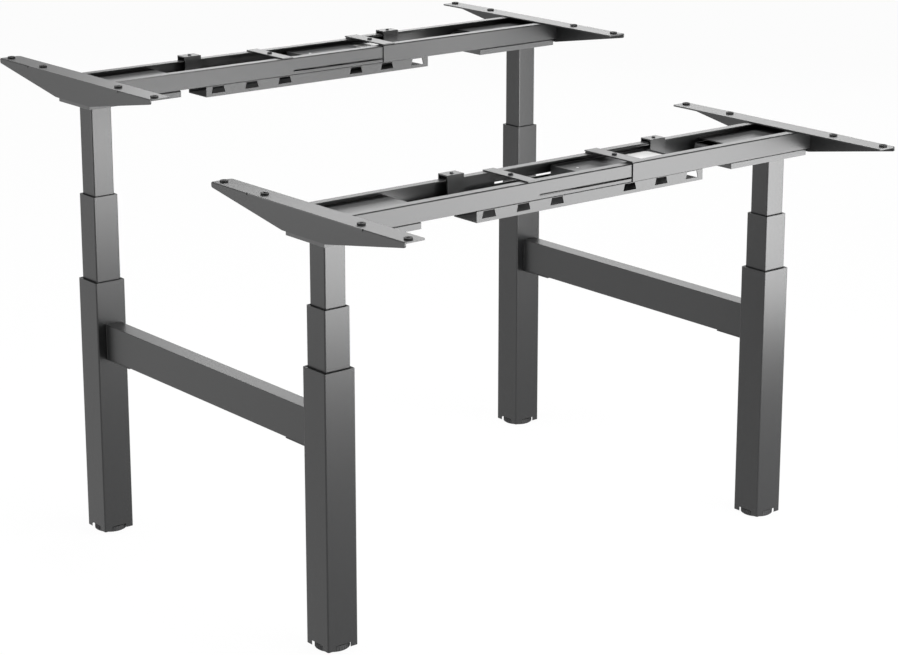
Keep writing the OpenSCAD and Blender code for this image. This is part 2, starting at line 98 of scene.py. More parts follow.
def add_camera():
    """A camera at the photograph's place, looking along its optical axis."""
    data = bpy.data.cameras.new("camera")
    data.sensor_width = SENSOR_MM
    data.lens = FOCAL_PX * SENSOR_MM / PICTURE[0]
    data.shift_x = (PICTURE[0] / 2 - AXIS_PX[0]) / PICTURE[0]
    data.shift_y = -(PICTURE[1] / 2 - AXIS_PX[1]) / PICTURE[0]
    obj = bpy.data.objects.new("camera", data)
    bpy.context.scene.collection.objects.link(obj)
    obj.location = CAMERA_PLACE
    obj.rotation_euler = (math.pi / 2 - CAMERA_PITCH, 0, -CAMERA_YAW)
    bpy.context.scene.camera = obj
    return obj


camera = add_camera()
print("lens mm:", round(camera.data.lens, 2), "shift:", round(camera.data.shift_y, 4))

# %% [markdown]
# Materials and the room are both built from nodes. A few helpers keep that readable: a math node, a
# noise texture, a colour mix and a remapped range, each made and linked in one call.

# %% Make helpers for node trees
WHITE = (1, 1, 1, 1)


def set_input(tree, socket, value):
    """Links a socket to an input, or sets a plain value on it."""
    if isinstance(value, bpy.types.NodeSocket):
        tree.links.new(value, socket)
    else:
        socket.default_value = value


def add_math(tree, operation, a, b=0.0):
    """A math node on two values or sockets."""
    node = tree.nodes.new("ShaderNodeMath")
    node.operation = operation
    set_input(tree, node.inputs[0], a)
    set_input(tree, node.inputs[1], b)
    return node.outputs[0]


def add_noise(tree, vector, scale, detail):
    """A noise texture on a vector, as a value."""
    noise = tree.nodes.new("ShaderNodeTexNoise")
    noise.inputs["Scale"].default_value = scale
    noise.inputs["Detail"].default_value = detail
    tree.links.new(vector, noise.inputs["Vector"])
    return noise.outputs[0]


def add_range(tree, value, low, high, to_low=0.0, to_high=1.0):
    """A value remapped from one range to another and clamped there."""
    node = tree.nodes.new("ShaderNodeMapRange")
    tree.links.new(value, node.inputs["Value"])
    node.inputs["From Min"].default_value = low
    node.inputs["From Max"].default_value = high
    node.inputs["To Min"].default_value = to_low
    node.inputs["To Max"].default_value = to_high
    return node.outputs["Result"]


def add_mix(tree, factor, a, b):
    """A mix of two colours or colour sockets."""
    node = tree.nodes.new("ShaderNodeMix")
    node.data_type = "RGBA"
    for label, value in (("Factor", factor), ("A", a), ("B", b)):
        socket = [s for s in node.inputs if s.name == label and s.enabled][0]
        set_input(tree, socket, value)
    return [s for s in node.outputs if s.enabled][0]


def seen_rays(tree):
    """1 for camera, glossy and transmission rays, and 0 for the rest."""
    rays = tree.nodes.new("ShaderNodeLightPath")
    first = add_math(tree, "MAXIMUM", rays.outputs["Is Camera Ray"], rays.outputs["Is Glossy Ray"])
    return add_math(tree, "MAXIMUM", first, rays.outputs["Is Transmission Ray"])


print("node helpers:", [f.__name__ for f in (add_math, add_noise, add_range, add_mix, seen_rays)])

# %% [markdown]
# Dark gloss paint shows the room more than its own colour. In the photograph the tops of the rails
# mirror a white horizon, the folds along them mirror a dark ceiling, and the front faces mirror one
# large soft box that stands low in front. So the room is white where the camera sees it, white at the
# horizon and dark overhead for reflections, and dim as a lamp.

# %% Light the white room
ROOM_AS_LAMP = 0.34
CEILING_GLOSS = 0.03
CEILING_FROM = 0.34
CEILING_TO = 0.62


def light_world():
    """White for the camera, a dark ceiling for reflections, dim as a lamp."""
    world = bpy.data.worlds.new("white_room")
    world.use_nodes = True
    tree = world.node_tree
    tree.nodes.clear()
    out = tree.nodes.new("ShaderNodeOutputWorld")
    coords = tree.nodes.new("ShaderNodeTexCoord")
    parts = tree.nodes.new("ShaderNodeSeparateXYZ")
    tree.links.new(coords.outputs["Generated"], parts.inputs[0])
    rays = tree.nodes.new("ShaderNodeLightPath")
    gloss = add_range(tree, parts.outputs["Z"], CEILING_FROM, CEILING_TO, 1.0, CEILING_GLOSS)
    level = add_math(tree, "MAXIMUM", gloss, rays.outputs["Is Camera Ray"])
    seen = tree.nodes.new("ShaderNodeBackground")
    tree.links.new(level, seen.inputs["Strength"])
    lamp = tree.nodes.new("ShaderNodeBackground")
    lamp.inputs["Strength"].default_value = ROOM_AS_LAMP
    for background in (seen, lamp):
        background.inputs["Color"].default_value = WHITE
    mix = tree.nodes.new("ShaderNodeMixShader")
    tree.links.new(seen_rays(tree), mix.inputs[0])
    tree.links.new(lamp.outputs[0], mix.inputs[1])
    tree.links.new(seen.outputs[0], mix.inputs[2])
    tree.links.new(mix.outputs[0], out.inputs["Surface"])
    bpy.context.scene.world = world


light_world()
print("ceiling seen in gloss:", CEILING_GLOSS)

# %% [markdown]
# Five soft boxes light the frame. The bright one stands on the floor in front: the upper front faces
# mirror it and the lower ones mirror the floor before it, so they fade from pale at the beams to dark
# at the feet. The one on the left fills the side faces, the one at the back gives the tops their pale
# sheen, the one overhead reaches into the beams, and a narrow strip draws a line along the folds.

# %% Hang the soft boxes
SOFT_BOXES = {
    "front_box": {
        "place": (0.62, -2.22, 0.56), "target": (-0.85, 0.1, 0.56), "size": (3.0, 1.1), "watts": 112.0,
    },
    "left_box": {
        "place": (-3.6, 1.6, 0.9), "target": (0.0, 0.3, 0.8), "size": (3.4, 1.7), "watts": 52.0,
    },
    "back_box": {
        "place": (3.95, 3.4, 2.4), "target": (0.0, 0.0, 0.9), "size": (4.8, 1.6), "watts": 62.0,
    },
    "top_box": {
        "place": (0.1, 0.1, 3.3), "target": (0.1, 0.1, 0.9), "size": (1.8, 1.8), "watts": 92.0,
    },
    "strip_box": {
        "place": (-1.5, 1.5, 2.7), "target": (-0.5, -0.8, 0.9), "size": (1.6, 0.5), "watts": 14.0,
    },
}


def add_soft_box(name, place, target, size, watts):
    """A rectangular area lamp that the camera doesn't see."""
    data = bpy.data.lights.new(name, "AREA")
    data.shape = "RECTANGLE"
    data.size = size[0]
    data.size_y = size[1]
    data.energy = watts
    obj = bpy.data.objects.new(name, data)
    bpy.context.scene.collection.objects.link(obj)
    obj.location = Vector(place)
    obj.rotation_euler = (Vector(target) - Vector(place)).to_track_quat("-Z", "Y").to_euler()
    obj.visible_camera = False


for name, box in SOFT_BOXES.items():
    add_soft_box(name, **box)

# %% [markdown]
# The floor is a wide sheet of white paper. Most of it glows for the camera and for reflections, which
# keeps it white without more light, and the rest is plain paint, which keeps the frame's soft shadow.

# %% Lay the floor
FLOOR_SIZE = 60.0
FLOOR_WHITE = 0.86
FLOOR_ROUGHNESS = 0.9
FLOOR_GLOW = 0.96


def add_floor():
    """A pale floor that looks white and keeps a faint shadow of the frame."""
    mesh = bpy.data.meshes.new("floor")
    half = FLOOR_SIZE / 2
    corners = [(-half, -half, 0), (half, -half, 0), (half, half, 0), (-half, half, 0)]
    mesh.from_pydata(corners, [], [(0, 1, 2, 3)])
    obj = bpy.data.objects.new("floor", mesh)
    bpy.context.scene.collection.objects.link(obj)
    mat = bpy.data.materials.new("floor_paper")
    mat.use_nodes = True
    tree = mat.node_tree
    shader = tree.nodes["Principled BSDF"]
    shader.inputs["Base Color"].default_value = (FLOOR_WHITE, FLOOR_WHITE, FLOOR_WHITE, 1)
    shader.inputs["Roughness"].default_value = FLOOR_ROUGHNESS
    shader.inputs["Specular IOR Level"].default_value = 0.0
    glow = tree.nodes.new("ShaderNodeEmission")
    glow.inputs["Color"].default_value = WHITE
    mix = tree.nodes.new("ShaderNodeMixShader")
    tree.links.new(add_math(tree, "MULTIPLY", seen_rays(tree), FLOOR_GLOW), mix.inputs[0])
    tree.links.new(shader.outputs[0], mix.inputs[1])
    tree.links.new(glow.outputs[0], mix.inputs[2])
    tree.links.new(mix.outputs[0], tree.nodes["Material Output"].inputs["Surface"])
    mesh.materials.append(mat)


add_floor()
bpy.context.scene.view_settings.view_transform = "Standard"
print("floor size m:", FLOOR_SIZE, "glow:", FLOOR_GLOW)

# %% [markdown]
# Powder coat is a baked plastic film. It isn't smooth: up close it has a fine orange peel, tiny darker
# and lighter specks, and slightly uneven gloss. Every painted and moulded surface of this frame has
# some of that, so it is built once as a node group that puts out a colour, a roughness and a normal,
# with named inputs for what differs. The pattern reads Object coordinates, because every piece keeps
# its place in its mesh.

# %% Build the coat group
PEEL_SCALE = 620.0
PEEL_DETAIL = 2.0
PEEL_DISTANCE = 0.12 * MM
SPECK_SCALE = 1900.0
SPECK_DETAIL = 3.0
PATCH_SCALE = 3.5
PATCH_DETAIL = 4.0
PATCH_CONTRAST = 0.05
PATCH_GLOSS_SHARE = 0.3
NOISE_MIDDLE = 0.5


def new_group(name, kind, inputs, outputs):
    """An empty node group of a kind, with its named sockets."""
    group = bpy.data.node_groups.new(name, kind)
    for in_out, sockets in (("INPUT", inputs), ("OUTPUT", outputs)):
        for label, socket_kind in sockets.items():
            group.interface.new_socket(name=label, in_out=in_out, socket_type=socket_kind)
    return group, group.nodes.new("NodeGroupInput"), group.nodes.new("NodeGroupOutput")


def build_coat():
    """Orange peel, specks and uneven gloss, as colour, roughness and normal."""
    group, start, end = new_group("baked_coat", "ShaderNodeTree", {
        "Vector": "NodeSocketVector", "Paint": "NodeSocketColor", "Gloss Roughness": "NodeSocketFloat",
        "Peel Depth": "NodeSocketFloat", "Speck Contrast": "NodeSocketFloat",
    }, {"Color": "NodeSocketColor", "Roughness": "NodeSocketFloat", "Normal": "NodeSocketVector"})
    vector = start.outputs["Vector"]
    peel = add_noise(group, vector, PEEL_SCALE, PEEL_DETAIL)
    speck_noise = add_noise(group, vector, SPECK_SCALE, SPECK_DETAIL)
    patch_noise = add_noise(group, vector, PATCH_SCALE, PATCH_DETAIL)
    speck = add_math(group, "SUBTRACT", speck_noise, NOISE_MIDDLE)
    patch = add_math(group, "SUBTRACT", patch_noise, NOISE_MIDDLE)
    speck_shift = add_math(group, "MULTIPLY", speck, start.outputs["Speck Contrast"])
    patch_shift = add_math(group, "MULTIPLY", patch, PATCH_CONTRAST)
    level = add_math(group, "ADD", add_math(group, "ADD", speck_shift, patch_shift), 1.0)
    tint = group.nodes.new("ShaderNodeHueSaturation")
    group.links.new(start.outputs["Paint"], tint.inputs["Color"])
    group.links.new(level, tint.inputs["Value"])
    group.links.new(tint.outputs["Color"], end.inputs["Color"])
    gloss_shift = add_math(group, "MULTIPLY", patch_shift, PATCH_GLOSS_SHARE)
    uneven = add_math(group, "ADD", gloss_shift, start.outputs["Gloss Roughness"])
    group.links.new(uneven, end.inputs["Roughness"])
    bump = group.nodes.new("ShaderNodeBump")
    bump.inputs["Distance"].default_value = PEEL_DISTANCE
    group.links.new(start.outputs["Peel Depth"], bump.inputs["Strength"])
    group.links.new(peel, bump.inputs["Height"])
    group.links.new(bump.outputs["Normal"], end.inputs["Normal"])
    return group


coat_group = build_coat()
print("coat group nodes:", len(coat_group.nodes))

# %% [markdown]
# Fine dust settles on what faces up and dulls it a little. The mask comes from the surface's own
# normal and a noise, so one group serves paint, plastic and rubber with its own strength.

# %% Build the dust group
DUST_UP_LOW = 0.6
DUST_UP_HIGH = 1.0
DUST_NOISE_SCALE = 140.0
DUST_NOISE_DETAIL = 6.0
DUST_NOISE_LOW = 0.35
DUST_NOISE_HIGH = 0.7
DUST_ROUGHER = 0.3
DUST_COLOUR = (0.42, 0.41, 0.39, 1)


def build_dust():
    """Settled dust, laid over a colour and its roughness."""
    group, start, end = new_group("settled_dust", "ShaderNodeTree", {
        "Vector": "NodeSocketVector", "Color": "NodeSocketColor", "Roughness": "NodeSocketFloat",
        "Dust": "NodeSocketFloat",
    }, {"Color": "NodeSocketColor", "Roughness": "NodeSocketFloat"})
    surface = group.nodes.new("ShaderNodeNewGeometry")
    facing = group.nodes.new("ShaderNodeSeparateXYZ")
    group.links.new(surface.outputs["Normal"], facing.inputs[0])
    upward = add_range(group, facing.outputs["Z"], DUST_UP_LOW, DUST_UP_HIGH)
    noise = add_noise(group, start.outputs["Vector"], DUST_NOISE_SCALE, DUST_NOISE_DETAIL)
    specks = add_range(group, noise, DUST_NOISE_LOW, DUST_NOISE_HIGH)
    dust = add_math(group, "MULTIPLY", add_math(group, "MULTIPLY", upward, specks), start.outputs["Dust"])
    dusty = add_mix(group, dust, start.outputs["Color"], DUST_COLOUR)
    group.links.new(dusty, end.inputs["Color"])
    rougher = add_math(group, "MULTIPLY", dust, DUST_ROUGHER)
    total = add_math(group, "ADD", start.outputs["Roughness"], rougher)
    group.links.new(total, end.inputs["Roughness"])
    return group


dust_group = build_dust()
print("dust group nodes:", len(dust_group.nodes))

# %% [markdown]
# The same near-black film covers the whole frame, with small differences: the columns are drawn tube
# with a smooth coat, the beams, brackets and trays are folded sheet with a slightly rougher one, and
# the head housings get a paler paint, which is a painted reflection of the white horizon that their
# plates mirror. The plastics and the rubber use the same two groups with their own values. Apart from
# that painted reflection, the reflections stay in the shader, where the index of the film is set.

# %% Make the paints, plastics and rubber
FILM_IOR = 1.5
PLASTIC_IOR = 1.46
COATS = {
    "column_paint": {
        "paint": (0.0090, 0.0092, 0.0095), "roughness": 0.27,
        "peel": 0.06, "speck": 0.06, "dust": 0.01, "ior": FILM_IOR,
    },
    "frame_paint": {
        "paint": (0.0108, 0.0111, 0.0114), "roughness": 0.37,
        "peel": 0.07, "speck": 0.07, "dust": 0.01, "ior": FILM_IOR,
    },
    # Paler than frame_paint: a painted reflection of the white horizon over the rear rail.
    "housing_painted_reflection": {
        "paint": (0.045, 0.0455, 0.046), "roughness": 0.42,
        "peel": 0.07, "speck": 0.07, "dust": 0.02, "ior": FILM_IOR,
    },
    "glide_plastic": {
        "paint": (0.012, 0.012, 0.012), "roughness": 0.55,
        "peel": 0.3, "speck": 0.2, "dust": 0.02, "ior": PLASTIC_IOR,
    },
    "foot_plastic": {
        "paint": (0.018, 0.018, 0.019), "roughness": 0.5,
        "peel": 0.35, "speck": 0.2, "dust": 0.03, "ior": PLASTIC_IOR,
    },
    "pad_rubber": {
        "paint": (0.010, 0.010, 0.010), "roughness": 0.62,
        "peel": 0.5, "speck": 0.25, "dust": 0.04, "ior": FILM_IOR,
    },
    "box_plastic": {
        "paint": (0.042, 0.043, 0.044), "roughness": 0.46,
        "peel": 0.5, "speck": 0.2, "dust": 0.03, "ior": PLASTIC_IOR,
    },
    "pale_film": {
        "paint": (0.50, 0.50, 0.495), "roughness": 0.45,
        "peel": 0.1, "speck": 0.04, "dust": 0.03, "ior": PLASTIC_IOR,
    },
}


def new_material(name):
    """A material with its node tree, its shader and its Object coordinates."""
    mat = bpy.data.materials.new(name)
    mat.use_nodes = True
    tree = mat.node_tree
    coords = tree.nodes.new("ShaderNodeTexCoord")
    return mat, tree, tree.nodes["Principled BSDF"], coords.outputs["Object"]


def coated_material(name, paint, roughness, peel, speck, dust, ior):
    """A baked or moulded surface in one colour, with a little dust on its top."""
    mat, tree, shader, vector = new_material(name)
    film = tree.nodes.new("ShaderNodeGroup")
    film.node_tree = coat_group
    film.inputs["Paint"].default_value = (*paint, 1)
    film.inputs["Gloss Roughness"].default_value = roughness
    film.inputs["Peel Depth"].default_value = peel
    film.inputs["Speck Contrast"].default_value = speck
    settled = tree.nodes.new("ShaderNodeGroup")
    settled.node_tree = dust_group
    settled.inputs["Dust"].default_value = dust
    for group in (film, settled):
        tree.links.new(vector, group.inputs["Vector"])
    tree.links.new(film.outputs["Color"], settled.inputs["Color"])
    tree.links.new(film.outputs["Roughness"], settled.inputs["Roughness"])
    tree.links.new(settled.outputs["Color"], shader.inputs["Base Color"])
    tree.links.new(settled.outputs["Roughness"], shader.inputs["Roughness"])
    tree.links.new(film.outputs["Normal"], shader.inputs["Normal"])
    shader.inputs["IOR"].default_value = ior
    return mat


FINISHES = {name: coated_material(name, **values) for name, values in COATS.items()}
print("coated materials:", sorted(FINISHES))

# %% [markdown]
# Screws, spindles and gearboxes are bare or blackened steel, turned on a lathe. The tool leaves fine
# rings round the axis, which a wave texture along Z repeats in colour and in gloss.

# %% Make the turned steels
RING_SCALE = 420.0
RING_DISTORTION = 1.5
RING_DARKER = 0.82
RING_GLOSS = 0.08
STEELS = {
    "motor_case": {"colour": (0.42, 0.42, 0.43), "roughness": 0.34},
    "screw_steel": {"colour": (0.55, 0.55, 0.56), "roughness": 0.28},
    "black_screw": {"colour": (0.030, 0.030, 0.032), "roughness": 0.40},
}


def steel_material(name, colour, roughness):
    """Turned steel with fine rings along Z."""
    mat, tree, shader, vector = new_material(name)
    wave = tree.nodes.new("ShaderNodeTexWave")
    wave.bands_direction = "Z"
    wave.inputs["Scale"].default_value = RING_SCALE
    wave.inputs["Distortion"].default_value = RING_DISTORTION
    tree.links.new(vector, wave.inputs["Vector"])
    darker = (*[c * RING_DARKER for c in colour], 1)
    tree.links.new(add_mix(tree, wave.outputs["Fac"], darker, (*colour, 1)), shader.inputs["Base Color"])
    shader.inputs["Metallic"].default_value = 1.0
    rings = add_math(tree, "MULTIPLY", wave.outputs["Fac"], RING_GLOSS)
    tree.links.new(add_math(tree, "ADD", rings, roughness), shader.inputs["Roughness"])
    return mat


FINISHES.update({name: steel_material(name, **values) for name, values in STEELS.items()})
print("steels:", sorted(STEELS), "slots without a finish:", sorted(set(SLOT_OF.values()) - set(FINISHES)))

# %% [markdown]
# A sheet part that has been cut, folded and painted has no sharp corner left. A cut edge is rounded a
# little by the film, and that narrow round is what catches the light. Each visible steel part is a copy
# of its CAD node with its loose triangles merged, its flat faces joined again and its edges rounded by
# a Bevel modifier. Weighted normals keep the wide faces flat beside the rounds. The copy then stands
# for the node.

# %% Copy a CAD node as clean faces
MERGE_DISTANCE = 0.002 * MM
FLAT_ANGLE = math.radians(0.2)
EDGE_ANGLE = math.radians(32)
EDGE_SEGMENTS = 2
FLAT_WEIGHT = 100


def clean_copy(node):
    """A bmesh of a CAD node with its triangles merged into whole faces."""
    shape = bmesh.new()
    shape.from_mesh(frame["nodes"][node].data)
    bmesh.ops.remove_doubles(shape, verts=shape.verts, dist=MERGE_DISTANCE)
    bmesh.ops.dissolve_limit(shape, angle_limit=FLAT_ANGLE, verts=shape.verts, edges=shape.edges)
    return shape


def mesh_from(shape, name):
    """A mesh made from a bmesh, which is then freed."""
    mesh = bpy.data.meshes.new(name)
    shape.to_mesh(mesh)
    shape.free()
    return mesh


def add_piece(name, mesh, finish, body):
    """An object from a mesh, smooth up to EDGE_ANGLE, with its finish, riding on a body."""
    mesh.polygons.foreach_set("use_smooth", [True] * len(mesh.polygons))
    mesh.set_sharp_from_angle(angle=EDGE_ANGLE)
    mesh.materials.clear()
    mesh.materials.append(FINISHES[finish])
    obj = bpy.data.objects.new(name, mesh)
    bpy.context.scene.collection.objects.link(obj)
    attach(obj, body)
    return obj


def round_edges(obj, radius, segments):
    """A live Bevel on the edges sharper than EDGE_ANGLE, with the wide faces kept flat."""
    bevel = obj.modifiers.new("round_edges", "BEVEL")
    bevel.width = radius
    bevel.segments = segments
    bevel.limit_method = "ANGLE"
    bevel.angle_limit = EDGE_ANGLE
    bevel.use_clamp_overlap = True
    flat = obj.modifiers.new("flat_normals", "WEIGHTED_NORMAL")
    flat.weight = FLAT_WEIGHT
    flat.keep_sharp = True


def dress(node, shape, radius, segments=EDGE_SEGMENTS, finish=None):
    """A shape with rounded edges that stands for a CAD node."""
    name = node + "_dressed"
    slot = SLOT_OF[node]
    obj = add_piece(name, mesh_from(shape, name), finish or slot, BODY_OF[node])
    round_edges(obj, radius, segments)
    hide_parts(node)


print("edges rounded above degrees:", round(math.degrees(EDGE_ANGLE)))

# %% [markdown]
# The twelve tubes are drawn and already have round corners in the CAD model, so only their cut ends
# need a small round. The crossbars are welded boxes with a softer edge.

# %% Dress the tubes and the crossbars
STAGES = ("outer_tube", "mid_tube", "inner_tube")
TUBE_EDGE = 0.3 * MM
BAR_EDGE = 0.8 * MM
for corner in CORNERS:
    for stage in STAGES:
        tube = corner + "_" + stage
        dress(tube, clean_copy(tube), TUBE_EDGE)
for side in SIDES:
    bar = side + "_crossbar"
    dress(bar, clean_copy(bar), BAR_EDGE)
print("tubes dressed:", len(STAGES) * len(CORNERS), "crossbars dressed:", len(SIDES))

# %% [markdown]
# The nodes of the rails and the trays also hold the tie screws and hanger screws as plain cylinders.
# Those islands are taken out of the copies, and the place of each is kept, so that a detailed screw can
# go exactly where the plain one was.

# %% Find the screws in a copy
SCREW_WIDEST = 13 * MM
screw_places = []


def islands(shape):
    """The vertex groups of a bmesh that hang together."""
    left = set(shape.verts)
    found = []
    while left:
        island = {left.pop()}
        waiting = list(island)
        while waiting:
            vert = waiting.pop()
            for edge in vert.link_edges:
                other = edge.other_vert(vert)
                if other in left:
                    left.discard(other)
                    island.add(other)
                    waiting.append(other)
        found.append(island)
    return found


def take_screws(shape, body):
    """Removes the narrow islands and notes their middle, radius and top."""
    for island in islands(shape):
        xs = [v.co.x for v in island]
        ys = [v.co.y for v in island]
        top = max(v.co.z for v in island)
        wide = max(xs) - min(xs)
        if wide < SCREW_WIDEST and max(ys) - min(ys) < SCREW_WIDEST:
            middle = Vector(((max(xs) + min(xs)) / 2, (max(ys) + min(ys)) / 2, top))
            screw_places.append({"body": body, "top": middle, "radius": wide / 2})
            bmesh.ops.delete(shape, geom=list(island), context="VERTS")
    return shape


print("islands taken as screws up to mm:", round(SCREW_WIDEST / MM, 1))

# %% [markdown]
# A fold has the radius of the press tool, about two millimetres, which is more than the film's round.
# A flat is first cut along each long upper fold, and the live Bevel then rounds both of its edges. On
# the rails that fold mirrors the dark ceiling as a thin dark line. The housing's flat is wider, so that
# it shows as a dark line where the housing meets the rail above it.

# %% Dress the folded parts
SHEET_EDGE = 0.7 * MM
THIN_EDGE = 0.5 * MM
PAD_EDGE = 1.2 * MM
PAD_SEGMENTS = 3
FOLD_EDGE = 1.9 * MM
HOUSING_FOLD_EDGE = 5.2 * MM
SHORTEST_FOLD = 40 * MM
NARROWEST_FACE = 8 * MM
WALL_RISE = 0.05
TOP_RISE = 0.95


def is_top_fold(edge):
    """Whether a long convex edge joins a wide upper face to a high wall."""
    length = edge.calc_length()
    if len(edge.link_faces) != 2 or length < SHORTEST_FOLD or not edge.is_convex:
        return False
    wall, top = sorted(edge.link_faces, key=lambda face: face.normal.z)
    widths = [face.calc_area() / length for face in (wall, top)]
    return abs(wall.normal.z) < WALL_RISE and top.normal.z > TOP_RISE and min(widths) > NARROWEST_FACE


def break_folds(shape, width=FOLD_EDGE):
    """A flat on each long top fold, which the live Bevel then rounds on both sides."""
    folds = [edge for edge in shape.edges if is_top_fold(edge)]
    bmesh.ops.bevel(shape, geom=folds, offset=width, segments=1, affect="EDGES")
    return shape


for corner in CORNERS:
    rails = corner + "_rails"
    bracket = corner + "_bracket"
    housing = corner + "_housing"
    pads = corner + "_pads"
    dress(rails, break_folds(take_screws(clean_copy(rails), BODY_OF[rails])), SHEET_EDGE)
    dress(bracket, break_folds(clean_copy(bracket)), THIN_EDGE)
    housing_shape = break_folds(clean_copy(housing), HOUSING_FOLD_EDGE)
    # The housing takes the paler paint, a painted reflection of the white horizon.
    dress(housing, housing_shape, SHEET_EDGE, finish="housing_painted_reflection")
    dress(pads, clean_copy(pads), PAD_EDGE, PAD_SEGMENTS)
for desk in DESKS:
    tray = desk + "_cable_tray"
    dress(tray, take_screws(clean_copy(tray), BODY_OF[tray]), THIN_EDGE)
print("screws taken out of the copies:", len(screw_places))

# %% [markdown]
# A socket screw has a low head with a sloping rim and a six-sided hole for the key. It repeats all over
# the frame, so Geometry Nodes build one head and put it on every point of a small point cloud: a cone
# for the head, less a six-sided prism for the socket. The point's own attribute says which way the
# head faces, so that the same tree also serves the undersides.

# %% Build the screw tree
HEAD_SIDES = 28
HEX_SIDES = 6
HEAD_SLOPE_SHARE = 0.84
PRISM_PER_DEPTH = 2.0
TIE_SCREW = {
    "Head Radius": 5.5 * MM, "Head Height": 3.0 * MM, "Socket Radius": 2.9 * MM, "Socket Depth": 2.0 * MM,
}
HANGER_SCREW = {
    "Head Radius": 4.0 * MM, "Head Height": 2.0 * MM, "Socket Radius": 2.0 * MM, "Socket Depth": 1.4 * MM,
}
SADDLE_SCREW = {
    "Head Radius": 5.0 * MM, "Head Height": 2.2 * MM, "Socket Radius": 2.5 * MM, "Socket Depth": 1.4 * MM,
}


def start_tree(name, inputs):
    """An empty geometry tree with its named inputs, a material and one geometry output."""
    shape = {"Geometry": "NodeSocketGeometry"}
    return new_group(name, "GeometryNodeTree", {**shape, **inputs, "Material": "NodeSocketMaterial"}, shape)


def end_tree(tree, start, end, geometry):
    """Real meshes with their material, with the instances made real."""
    real = tree.nodes.new("GeometryNodeRealizeInstances")
    painted = tree.nodes.new("GeometryNodeSetMaterial")
    tree.links.new(geometry, real.inputs["Geometry"])
    tree.links.new(real.outputs["Geometry"], painted.inputs["Geometry"])
    tree.links.new(start.outputs["Material"], painted.inputs["Material"])
    tree.links.new(painted.outputs["Geometry"], end.inputs["Geometry"])


def raise_geometry(tree, geometry, height):
    """The geometry moved up by a height socket."""
    move = tree.nodes.new("GeometryNodeTransform")
    place = tree.nodes.new("ShaderNodeCombineXYZ")
    tree.links.new(height, place.inputs["Z"])
    tree.links.new(geometry, move.inputs["Geometry"])
    tree.links.new(place.outputs[0], move.inputs["Translation"])
    return move.outputs["Geometry"]


def turn_towards(tree, axis, vector):
    """A rotation that turns an axis towards a vector socket."""
    turn = tree.nodes.new("FunctionNodeAlignRotationToVector")
    turn.axis = axis
    tree.links.new(vector, turn.inputs["Vector"])
    return turn.outputs[0]


def put_on_points(tree, points, geometry, rotation=None):
    """The geometry as instances on points, turned by a rotation socket."""
    put = tree.nodes.new("GeometryNodeInstanceOnPoints")
    tree.links.new(points, put.inputs["Points"])
    tree.links.new(geometry, put.inputs["Instance"])
    if rotation:
        tree.links.new(rotation, put.inputs["Rotation"])
    return put.outputs["Instances"]


def build_screw_tree():
    """A socket head on each point, facing along the point's attribute."""
    tree, start, end = start_tree("socket_screws", {label: "NodeSocketFloat" for label in TIE_SCREW})
    head = tree.nodes.new("GeometryNodeMeshCone")
    head.inputs["Vertices"].default_value = HEAD_SIDES
    slope = add_math(tree, "MULTIPLY", start.outputs["Head Radius"], HEAD_SLOPE_SHARE)
    tree.links.new(slope, head.inputs["Radius Top"])
    tree.links.new(start.outputs["Head Radius"], head.inputs["Radius Bottom"])
    tree.links.new(start.outputs["Head Height"], head.inputs["Depth"])
    socket = tree.nodes.new("GeometryNodeMeshCylinder")
    socket.inputs["Vertices"].default_value = HEX_SIDES
    prism = add_math(tree, "MULTIPLY", start.outputs["Socket Depth"], PRISM_PER_DEPTH)
    tree.links.new(start.outputs["Socket Radius"], socket.inputs["Radius"])
    tree.links.new(prism, socket.inputs["Depth"])
    raised = raise_geometry(tree, socket.outputs["Mesh"], start.outputs["Head Height"])
    cut = tree.nodes.new("GeometryNodeMeshBoolean")
    cut.operation = "DIFFERENCE"
    tree.links.new(head.outputs["Mesh"], cut.inputs["Mesh 1"])
    tree.links.new(raised, cut.inputs["Mesh 2"])
    facing = tree.nodes.new("GeometryNodeInputNamedAttribute")
    facing.data_type = "FLOAT_VECTOR"
    facing.inputs["Name"].default_value = "facing"
    turned = turn_towards(tree, "Z", facing.outputs[0])
    screws = put_on_points(tree, start.outputs["Geometry"], cut.outputs["Mesh"], turned)
    end_tree(tree, start, end, screws)
    return tree


screw_tree = build_screw_tree()
print("screw tree nodes:", len(screw_tree.nodes))

# %% [markdown]
# A tree only becomes a finished piece once its result is turned into a plain mesh. The helper below
# puts the modifier on a point cloud, fills its inputs by their identifiers, takes the evaluated mesh
# and removes the helper object again, so that nothing live is left on the piece.

# %% Turn a tree into a plain mesh
UP = Vector((0, 0, 1))
DOWN = Vector((0, 0, -1))


def mesh_of_tree(name, tree, points, facing, values):
    """The mesh that a tree makes on a few points that all face one way."""
    mesh = bpy.data.meshes.new(name + "_points")
    mesh.from_pydata(points, [], [])
    attribute = mesh.attributes.new("facing", "FLOAT_VECTOR", "POINT")
    for row in attribute.data:
        row.vector = facing
    holder = bpy.data.objects.new(name + "_points", mesh)
    bpy.context.scene.collection.objects.link(holder)
    modifier = holder.modifiers.new(name, "NODES")
    modifier.node_group = tree
    for item in tree.interface.items_tree:
        if item.item_type == "SOCKET" and item.in_out == "INPUT" and item.name in values:
            modifier[item.identifier] = values[item.name]
    bpy.context.view_layer.update()
    result = holder.evaluated_get(bpy.context.evaluated_depsgraph_get())
    made = bpy.data.meshes.new_from_object(result)
    made.name = name
    holder.modifiers.remove(modifier)
    bpy.data.objects.remove(holder)
    bpy.data.meshes.remove(mesh)
    return made


def add_screws(name, body, points, facing, sizes):
    """Black socket screws on one body, as one piece."""
    values = {**sizes, "Material": FINISHES["black_screw"]}
    made = mesh_of_tree(name, screw_tree, points, facing, values)
    add_piece(name, made, "black_screw", body)
    print(name + ":", len(points), "screws,", len(made.polygons), "faces")


# %% [markdown]
# The tie screws hold each pair of rails together, and a small screw locks each hanger on the rear
# rail. Both stand where the plain cylinders stood and keep their tops, so nothing grows out of the
# space that the CAD model holds.

